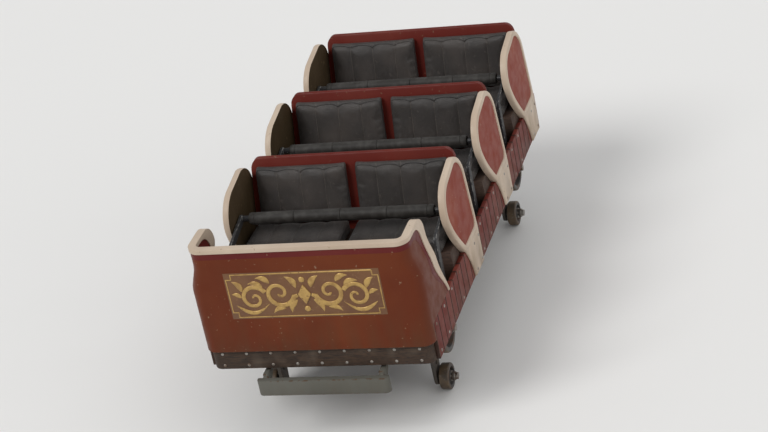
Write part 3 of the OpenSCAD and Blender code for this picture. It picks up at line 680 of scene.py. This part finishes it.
def halfScroll():
    pieces = []
    for curl in curls:
        points = curl["stem"] + spiral(curl["centre"], curl["radius"], curl["start"], curl["turns"])
        pieces.append(stroke(points, curl["width"], nose["relief"]))
    return joined(pieces + [leaf(*sizes) for sizes in leaves])


def scrollMiddle():  # a lozenge between two balls
    bpy.ops.mesh.primitive_cylinder_add(vertices=4, radius=nose["lozenge"], depth=0.02,
                                        rotation=(math.pi / 2, 0, 0))
    lozenge = settle(added())
    lozenge.data.transform(Matrix.Scale(0.62, 4, alongX))
    pieces = [soften(lozenge, 0.006, 3)]
    for z in (nose["ballRise"], -nose["ballRise"]):
        bpy.ops.mesh.primitive_uv_sphere_add(segments=20, ring_count=10, radius=nose["ball"],
                                             location=(0, 0, z))
        ball = settle(added())
        ball.data.transform(Matrix.Scale(0.5, 4, alongY))
        pieces.append(smooth(ball))
    return pieces


def notchedOutline(w, h, notch):  # (x, z) points of a rectangle with notched corners
    quarter = [(w - notch, h), (w - notch, h - notch), (w, h - notch)]
    points = quarter + [(x, -z) for x, z in reversed(quarter)]
    points += [(-x, -z) for x, z in points]
    return points + points[:1]


def makeScrolls():
    face = Vector((0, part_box("nose_shell")[0].y, nose["panelHeight"]))
    scale, proud, margin = nose["panelScale"], nose["panelProud"], nose["margin"]
    w, h = (length / 2 - nose["lineInset"] for length in nose["panelSize"])
    left = halfScroll()
    frameLine = [(x, z, 1) for x, z in notchedOutline(w, h, nose["notch"])]
    pieces = [left, copyOf(left, flipX)] + scrollMiddle() + [stroke(frameLine, nose["lineWidth"], 0.5)]
    ornament = dress(joined(pieces), [looks["gold"]])
    ornament.data.transform(Matrix.Translation(face - Vector((0, proud, 0))) @ Matrix.Scale(scale, 4))
    place(ornament, "noseScrolls")

    field = boxAt(face, (2 * (w + margin) * scale, 2 * proud, 2 * (h + margin) * scale))
    soften(dress(field, [looks["glaze"]]), 0.0008, 2)
    place(field, "noseField")


makeTrim()
makeBorder()
makeScrolls()
print("nose made")


# Wings: a pale rounded rim and tail round a crowned red field, and a dark inner face

wing = {"rimEase": 0.004, "facing": 0.95, "tilt": 0.02, "sunk": (0.003, 0.02), "shortest": 0.002,
        "crown": ((0.009, 0.0016), (0.010, 0.0012), (0.012, 0.0008))}  # inset and rise of each step


def makeWing(node, sign):
    piece = dress(castOf(node), [looks["creamPaint"], looks["wingField"], looks["wingInner"]])

    def leans(face, way):  # belongs to the leaning outer face, or to the inner one where way is -1
        return way * sign * face.normal.x > wing["facing"] and way * face.normal.z > wing["tilt"]

    chooseFaces(piece, lambda face: leans(face, -1))
    piece.active_material_index = 2
    bpy.ops.object.material_slot_assign()
    leaveEdit()
    reach = max(face.center.dot(face.normal) for face in piece.data.polygons if leans(face, 1))
    least, most = wing["sunk"]
    chooseFaces(piece, lambda face: leans(face, 1) and least < reach - face.center.dot(face.normal) < most)
    bpy.ops.mesh.remove_doubles(threshold=wing["shortest"])  # takes out the shortest edges
    piece.active_material_index = 1
    bpy.ops.object.material_slot_assign()
    for thickness, depth in wing["crown"]:
        bpy.ops.mesh.inset(thickness=thickness, depth=depth, use_even_offset=False)
        bpy.ops.object.material_slot_assign()
    leaveEdit()
    soften(piece, wing["rimEase"], 3, 40)
    place(piece, node + "Dressed", stands=[node])


for side, sign in sides.items():
    for number in rowNumbers:
        makeWing(f"wing_{side}_{number}", sign)
print("wings made")


# Lap bars: flat arms, a bare tube, and a sewn sleeve

bar = {"sleeve": 0.034, "bare": 0.040, "arm": 0.016, "armEase": 0.004, "groove": 0.0025,
       "seam": 0.003, "boss": 0.028, "pivotIn": 0.022}


def lathe(profile, steps=40):  # turns (radius, x) points about the X axis
    line = newMesh("profile", [(x, 0, r) for r, x in profile],
                   edges=[(i, i + 1) for i in range(len(profile) - 1)])
    chooseAll(line)
    bpy.ops.mesh.spin(steps=steps, angle=math.tau, center=(0, 0, 0), axis=(1, 0, 0))
    leaveEdit()
    return smooth(closeUp(line), 40)


def makeSleeve(end):  # four stitched lengths between banded ends, from -end to end
    r, g = bar["sleeve"], bar["groove"]
    band = [(0.0, -end), (r - 0.012, -end), (r - 0.004, 0.004 - end), (r, 0.014 - end),
            (r, 0.034 - end), (r - g, 0.036 - end), (r - g, 0.040 - end), (r, 0.042 - end)]
    profile = list(band)
    for x in (-0.5 * end, 0.0, 0.5 * end):
        profile += [(r + 0.001, x - 0.010), (r + 0.001, x - 0.003), (r - g, x), (r + 0.001, x + 0.003)]
    profile += [(radius, -x) for radius, x in reversed(band)]
    sleeve = lathe(profile)
    bpy.ops.mesh.primitive_cylinder_add(vertices=8, radius=bar["seam"], depth=2 * end - 0.05,
                                        rotation=(0, math.pi / 2, 0),
                                        location=(0, -r * 0.5, -r * 0.86))
    return joined([sleeve, settle(added())])


def makeBars():
    low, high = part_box("lap_bar_1")
    r = bar["sleeve"]
    end = high.x - bar["arm"] - bar["bare"]
    sleeve = makeSleeve(end)
    sleeve.data.transform(Matrix.Translation((0, high.y - r, high.z - r)))
    for number in rowNumbers:
        node = f"lap_bar_{number}"
        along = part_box(node)[0].y - low.y
        piece = dress(castOf(node), [looks["barPaint"], looks["barPaintEdge"]])
        centre = Vector((high.y - r + along, high.z - r))

        def padding(face):
            away = (Vector((face.center.y, face.center.z)) - centre).length
            return abs(face.center.x) < end + 0.001 and away < r + 0.002

        chooseFaces(piece, padding)
        bpy.ops.mesh.delete(type="FACE")
        bpy.ops.mesh.select_all(action="SELECT")
        bpy.ops.mesh.fill_holes(sides=0)
        leaveEdit()
        soften(piece, bar["armEase"], 3, 50, 1)
        place(piece, node + "Dressed", node, [node])
        cover = dress(copyOf(sleeve, Matrix.Translation((0, along, 0))), [looks["rubber"]])
        smooth(cover, 40)
        place(cover, f"lapSleeve_{number}", node, [node])
    discard(sleeve)


makeBars()
print("lap bars made")


# Wheels: a moulded tyre on a cast hub, with a ring of bolts on each face

wheels = {"run": {"bore": 0.025, "tyre": 0.022, "ease": 0.008},
          "stop": {"bore": 0.016, "tyre": 0.014, "ease": 0.008},
          "guide": {"bore": 0.016, "tyre": 0.014, "ease": 0.008}}
boltRing = 1.56  # the ring's radius in bores


def boltShape(size):  # a hex head on a washer, standing on z = 0
    bpy.ops.mesh.primitive_cylinder_add(vertices=20, radius=size * 1.2, depth=size * 0.24,
                                        location=(0, 0, size * 0.12))
    washer = soften(settle(added()), size * 0.06, 1)
    bpy.ops.mesh.primitive_cylinder_add(vertices=6, radius=size, depth=size * 0.7,
                                        location=(0, 0, size * 0.55))
    head = soften(settle(added()), size * 0.10, 2)
    return joined([washer, head])


def domeShape(size):  # a low round head
    bpy.ops.mesh.primitive_uv_sphere_add(segments=16, ring_count=10, radius=size)
    dome = settle(added())
    dome.data.transform(Matrix.Scale(0.42, 4, alongZ))
    chooseAll(dome)
    bpy.ops.mesh.bisect(plane_co=(0, 0, 0), plane_no=(0, 0, 1), use_fill=True, clear_inner=True)
    leaveEdit()
    return smooth(dome, 50)


def scatter(shape, places, name, body="chassis"):  # one bolt at each (point, direction)
    pieces = [copyOf(shape, turnedTo(point, way)) for point, way in places]
    return place(dress(joined(pieces), [looks["fastener"]]), name, body)


smallBolt, midBolt, bigNut = boltShape(0.007), boltShape(0.012), boltShape(0.022)
panelDome = domeShape(0.009)


def makeWheel(kind, corner):
    sizes = wheels[kind]
    node = f"{kind}_wheel_{corner}"
    low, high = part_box(node)
    middle = (low + high) / 2
    rim = (high.y - low.y) / 2 - sizes["tyre"] - sizes["ease"]
    if kind == "guide":  # lies flat
        axis, across, up = alongZ, alongX, alongY
    else:
        axis, across, up = alongX, alongY, alongZ
    piece = dress(castOf(node), [looks["cast"], looks["tyre"]])
    mesh = piece.data

    def reach(vertex):
        out = mesh.vertices[vertex].co - middle
        return math.hypot(out.dot(across), out.dot(up))

    for face in mesh.polygons:
        face.material_index = 1 if min(reach(v) for v in face.vertices) > rim + 0.0005 else 0
    soften(piece, 0.0015, 2, 40)
    place(piece, node + "Dressed", node, [node])
    half = (high - low).dot(axis) / 2
    ring = []
    for way in (axis, -axis):
        for step in range(6):
            a = math.radians(60 * step + 30)
            out = (across * math.cos(a) + up * math.sin(a)) * sizes["bore"] * boltRing
            ring.append((middle + out + way * half, way))
    scatter(smallBolt, ring, f"{kind}Bolts_{corner}", node)


for kind in wheels:
    for corner in corners:
        makeWheel(kind, corner)
print("wheels made")


# Cushions: blown up in a cloth simulation, then drawn in at their sewn channels and piped

pads = {"voxel": 0.011, "start": 0.006, "pressure": 4.0, "frames": 20, "cap": 0.011,
        "spare": 0.002, "clear": 0.0004, "puff": 0.012, "channels": 4, "piping": 0.0042,
        "thread": 0.0013, "stitch": 0.0085, "stitchShares": (1, 1, 0.8, 0.15), "hem": 0.03,
        "seatWelt": 0.022, "backWelt": 0.042}  # below the seat's top, and ahead of the back pad's rear


def halfPad(node):  # the left pad of a pair, a little smaller than its CAD solid
    piece = castOf(node)
    chooseFaces(piece, lambda face: face.center.x < 0)
    bpy.ops.mesh.delete(type="FACE")
    bpy.ops.mesh.select_all(action="SELECT")
    bpy.ops.transform.shrink_fatten(value=-pads["start"], use_even_offset=True)
    leaveEdit()
    remesh = piece.modifiers.new("remesh", "REMESH")
    remesh.mode = "VOXEL"
    remesh.voxel_size = pads["voxel"]
    relax = piece.modifiers.new("relax", "SMOOTH")
    relax.factor = 0.5
    relax.iterations = 6
    applyAll(piece)
    return piece


def inflate(piece):
    cloth = piece.modifiers.new("cloth", "CLOTH")
    settings = cloth.settings
    settings.quality = 6
    settings.mass = 0.3
    settings.tension_stiffness = 12
    settings.compression_stiffness = 12
    settings.bending_stiffness = 0.6
    settings.use_pressure = True
    settings.uniform_pressure_force = pads["pressure"]
    settings.effector_weights.gravity = 0
    cloth.point_cache.frame_start = 1
    cloth.point_cache.frame_end = pads["frames"]
    for frameNumber in range(1, pads["frames"] + 1):
        bpy.context.scene.frame_set(frameNumber)
    applyAll(piece)
    bpy.context.scene.frame_set(1)


def swell(piece, keepIn):  # inflates the pad, no further than the cap and the room that keepIn leaves
    before = [v.co.copy() for v in piece.data.vertices]
    inflate(piece)
    for vertex, start in zip(piece.data.vertices, before):
        move = vertex.co - start
        if move.length > pads["cap"]:
            move *= pads["cap"] / move.length
        vertex.co = keepIn(start + move)
    finer = piece.modifiers.new("finer", "SUBSURF")
    finer.levels = finer.render_levels = 1
    applyAll(piece)


def sewChannels(piece, inner, outer, face):  # draws the face in along upright seams
    mesh = piece.data
    count = pads["channels"]
    normals = [v.normal.copy() for v in mesh.vertices]
    for vertex, normal in zip(mesh.vertices, normals):
        facing = max(0.0, normal.dot(face)) ** 0.7
        share = (vertex.co.x - inner) / (outer - inner) * count
        arch = abs(math.sin(math.pi * share)) ** 0.45
        edge = min(share, count - share)
        fade = min(1.0, max(0.0, edge * 4))
        vertex.co += normal * pads["puff"] * facing * (arch - 1) * (0.35 + 0.65 * fade)


def sewn(line, look):
    return smooth(dress(line, [looks[look]]), 60)


def pipe(piece, centre, up):  # a welt round the pad, laid on its surface
    surface = surfaceOf(piece)
    points = []
    for step in range(120):
        a = math.tau * step / 120
        way = alongX * math.cos(a) + up * math.sin(a)
        hit = surface.ray_cast(centre + way, -way)[0]
        points.append(hit - way * pads["piping"] * 0.2)
    return sewn(roundLine(points, pads["piping"], (1,), True, 2), "piping")


def stitch(piece, inner, outer, face, along, middle, reach):  # rows of stitches in the sewn channels
    surface = surfaceOf(piece)
    shares = pads["stitchShares"]
    count = int(2 * reach / pads["stitch"]) * len(shares)
    lines = []
    for seam in range(1, pads["channels"]):
        x = inner + (outer - inner) * seam / pads["channels"]
        points = []
        for step in range(count + 1):
            spot = Vector((x, middle.y, middle.z)) + along * reach * (2 * step / count - 1)
            hit = surface.ray_cast(spot + face * 0.2, -face)[0]
            if hit:
                points.append(hit + face * pads["thread"] * 0.3)
        lines.append(sewn(roundLine(points, pads["thread"], shares, False, 1), "thread"))
    return lines


def rowsOf(template, node, name):  # the pair of pads, set in every row
    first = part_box(node + "_1")[0].y
    other = copyOf(template, flipX)
    for number in rowNumbers:
        move = Matrix.Translation((0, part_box(f"{node}_{number}")[0].y - first, 0))
        pair = joined([copyOf(template, move), copyOf(other, move)])
        place(pair, f"{name}_{number}", stands=[f"{node}_{number}"])
    discard(template)
    discard(other)


def makePads(node, name, face, up, centre, reach, room):  # room keeps a (y, z) place in bounds
    piece = halfPad(node + "_1")
    inner = min(v.co.x for v in piece.data.vertices) - pads["start"]
    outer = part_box(node + "_1")[1].x
    spare = pads["spare"]

    def keepIn(point):
        return Vector((min(max(point.x, inner - spare), outer + spare), *room(point.y, point.z)))

    swell(piece, keepIn)
    sewChannels(piece, inner, outer, face)
    sewn(piece, "vinyl")
    middle = Vector(((inner + outer) / 2, *centre))
    welt = pipe(piece, middle, up)
    seams = stitch(piece, inner, outer, face, up, middle, reach - pads["hem"])
    rowsOf(joined([piece, welt] + seams), node, name)


def makeSeatPads():
    low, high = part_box("cushions_1")
    spare = pads["spare"]
    centre = ((low.y + high.y) / 2, high.z - pads["seatWelt"])

    def room(y, z):
        return (min(max(y, low.y - spare), high.y + spare),
                min(max(z, low.z + pads["clear"]), high.z + 3 * spare))

    makePads("cushions", "seatPads", alongZ, alongY, centre, (high.y - low.y) / 2, room)


def makeBackPads():
    low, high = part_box("back_pads_1")
    spare = pads["spare"]
    source = [v.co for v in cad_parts["back_pads_1"].data.vertices]
    foot = max((v for v in source if v.z < low.z + 0.001), key=lambda v: v.y)
    head = max(source, key=lambda v: v.y)
    lean = (head - foot).y / (head - foot).z
    up = Vector((0, lean, 1)).normalized()
    front = Vector((0, -1, lean)).normalized()
    rise = (high.z - low.z) / 2
    centre = Vector((0, foot.y + rise * lean, low.z + rise)) + front * pads["backWelt"]

    def room(y, z):
        rear = foot.y + (z - foot.z) * lean - pads["clear"]
        return min(y, rear), min(max(z, low.z - spare), high.z + spare)

    makePads("back_pads", "backPads", front, up, centre.yz, rise / up.z, room)


makeSeatPads()
makeBackPads()
print("pads made")


# Deck mats with ribs, one in each row's leg space

mat = {"halfWidth": 0.55, "thick": 0.004, "pitch": 0.026, "rib": 0.010, "ribHeight": 0.004,
       "ribIn": 0.020, "ribStart": 0.020, "ribEnd": 0.030, "margin": 0.035, "seatGap": 0.010,
       "legRoom": 0.415, "noseFoot": 0.070}


def makeMats():
    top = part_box("floor_deck")[1].z
    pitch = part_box("cushions_2")[0].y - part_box("cushions_1")[0].y
    width, thick, height = 2 * mat["halfWidth"], mat["thick"], mat["ribHeight"]
    for number in rowNumbers:
        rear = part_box("seat_bases")[0].y + (number - 1) * pitch
        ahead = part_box("nose_shell")[0].y + mat["noseFoot"] if number == 1 else rear - mat["legRoom"]
        y0, y1 = ahead + mat["margin"], rear - mat["seatGap"]
        sheet = boxAt((0, (y0 + y1) / 2, top + thick / 2), (width, y1 - y0, thick))
        soften(sheet, 0.0015, 2)
        rib = boxAt((0, y0 + mat["ribStart"], top + thick + height / 2),
                    (width - 2 * mat["ribIn"], mat["rib"], height))
        soften(rib, 0.0018, 2)
        row = rib.modifiers.new("row", "ARRAY")
        row.use_relative_offset = False
        row.use_constant_offset = True
        row.constant_offset_displace = (0, mat["pitch"], 0)
        row.count = int((y1 - y0 - mat["ribEnd"]) / mat["pitch"])
        applyAll(rib)
        piece = dress(joined([sheet, rib]), [looks["rubber"]])
        place(smooth(piece), f"deckMat_{number}")


makeMats()
print("mats made")


# Fasteners: domed bolts in the boards, hex bolts and nuts in the running gear

bolts = {"boardIn": 0.028, "apronPitch": 0.140, "apronIn": 0.024, "rearPitch": 0.190, "rearRise": 0.13,
         "rearDrop": 0.035, "plateX": 0.068, "plateIn": 0.018, "plateThick": 0.014,
         "backX": (-0.46, -0.14, 0.14, 0.46), "backRise": 0.09, "backDrop": 0.07, "rayStart": 0.12}
tail = {"width": 0.30, "clear": 0.012,  # bolts: distance from the wing's rear edge, and height
        "bolts": ((0.035, 0.505), (0.155, 0.505), (0.035, 0.655), (0.135, 0.655))}
carrier = {"footX": 0.330, "footZ": 0.438, "footReach": (0.033, 0.043), "flangeX": 0.463,
           "flangeReach": (0.048, 0.025), "pinOut": 0.018, "nutSunk": 0.0005}


def underWing(y):
    rears = [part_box(f"wing_left_{number}")[1].y for number in rowNumbers]
    return any(rear - tail["width"] < y < rear + tail["clear"] for rear in rears)


def boltSides():  # every other board of the side panels, and the wings' tails
    low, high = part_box("side_panel_left")
    pitch = boards["pitch"]
    for side, sign in sides.items():
        spots = []
        for step in range(0, int((high.y - low.y) / pitch), 2):
            y = low.y + (step + 0.5) * pitch
            if not underWing(y):
                spots += [((sign * high.x, y, z), (sign, 0, 0))
                          for z in (low.z + bolts["boardIn"], high.z - bolts["boardIn"])]
        scatter(panelDome, spots, f"panelBolts_{side}")
        spots = []
        for number in rowNumbers:
            inner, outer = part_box(f"wing_{side}_{number}")
            x = sign * max(abs(inner.x), abs(outer.x))
            spots += [((x, outer.y - back, z), (sign, 0, 0)) for back, z in tail["bolts"]]
        scatter(panelDome, spots, f"wingBolts_{side}")


def boltEnds():  # the front apron, the rear panel and the drawbar's plate
    low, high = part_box("front_apron")
    spots = []
    for step in range(-4, 5):
        for z in (low.z + bolts["apronIn"], high.z - bolts["apronIn"]):
            spots.append(((step * bolts["apronPitch"], low.y, z), (0, -1, 0)))
    scatter(panelDome, spots, "apronBolts")

    low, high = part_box("rear_panel")
    spots = []
    for step in range(-3, 4):
        for z in (low.z + bolts["rearRise"], high.z - bolts["rearDrop"]):
            spots.append(((step * bolts["rearPitch"], high.y, z), (0, 1, 0)))
    plateLow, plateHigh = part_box("drawbar")
    for x in (-bolts["plateX"], bolts["plateX"]):
        for z in (plateLow.z + bolts["plateIn"], plateHigh.z - bolts["plateIn"]):
            spots.append(((x, high.y + bolts["plateThick"], z), (0, 1, 0)))
    scatter(smallBolt, spots, "rearBolts")


def boltBacks():  # on the rear faces of the seat backs, found by a ray from behind
    shells = surfaceOf(bpy.data.objects["seat_backsDressed"])
    spots = []
    for number in rowNumbers:
        low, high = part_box(f"back_pads_{number}")
        for x in bolts["backX"]:
            for z in (low.z + bolts["backRise"], high.z - bolts["backDrop"]):
                hit, normal = shells.ray_cast(Vector((x, high.y + bolts["rayStart"], z)), -alongY)[:2]
                spots.append((hit, normal))
    scatter(panelDome, spots, "backBolts")


def boltAxles():  # the nuts of the spindles and pins, and the bolts of the carriers' feet and flanges
    nuts, small = [], []
    footX, footZ, flangeX = carrier["footX"], carrier["footZ"], carrier["flangeX"]
    (reachX, reachY), (flangeY, flangeZ) = carrier["footReach"], carrier["flangeReach"]
    for axle in ("front", "rear"):
        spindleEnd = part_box(f"{axle}_axle")[1].x
        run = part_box(f"run_wheel_{axle[0]}l")
        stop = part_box(f"stop_wheel_{axle[0]}l")
        y, z = (run[0].y + run[1].y) / 2, (run[0].z + run[1].z) / 2
        for sign in (1, -1):
            nuts.append(((sign * (spindleEnd - carrier["nutSunk"]), y, z), (sign, 0, 0)))
            pinEnd = (sign * (stop[1].x + carrier["pinOut"]), y, (stop[0].z + stop[1].z) / 2)
            nuts.append((pinEnd, (sign, 0, 0)))
            for a, b in ((-1, -1), (-1, 1), (1, -1), (1, 1)):
                small.append(((sign * footX + a * reachX, y + b * reachY, footZ), (0, 0, -1)))
                small.append(((sign * flangeX, y + a * flangeY, z + b * flangeZ), (sign, 0, 0)))
    scatter(bigNut, nuts, "axleNuts")
    scatter(midBolt, small, "carrierBolts")


def boltPivots():
    spots = []
    for number in rowNumbers:
        low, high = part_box(f"lap_bar_{number}")
        for sign in (1, -1):
            pivot = (sign * (high.x - bar["pivotIn"]), low.y + bar["boss"], low.z + bar["boss"])
            spots.append((pivot, (-sign, 0, 0)))
    scatter(midBolt, spots, "pivotBolts")


boltSides()
boltEnds()
boltBacks()
boltAxles()
boltPivots()
for shape in (smallBolt, midBolt, bigNut, panelDome):
    discard(shape)
print("fasteners made")
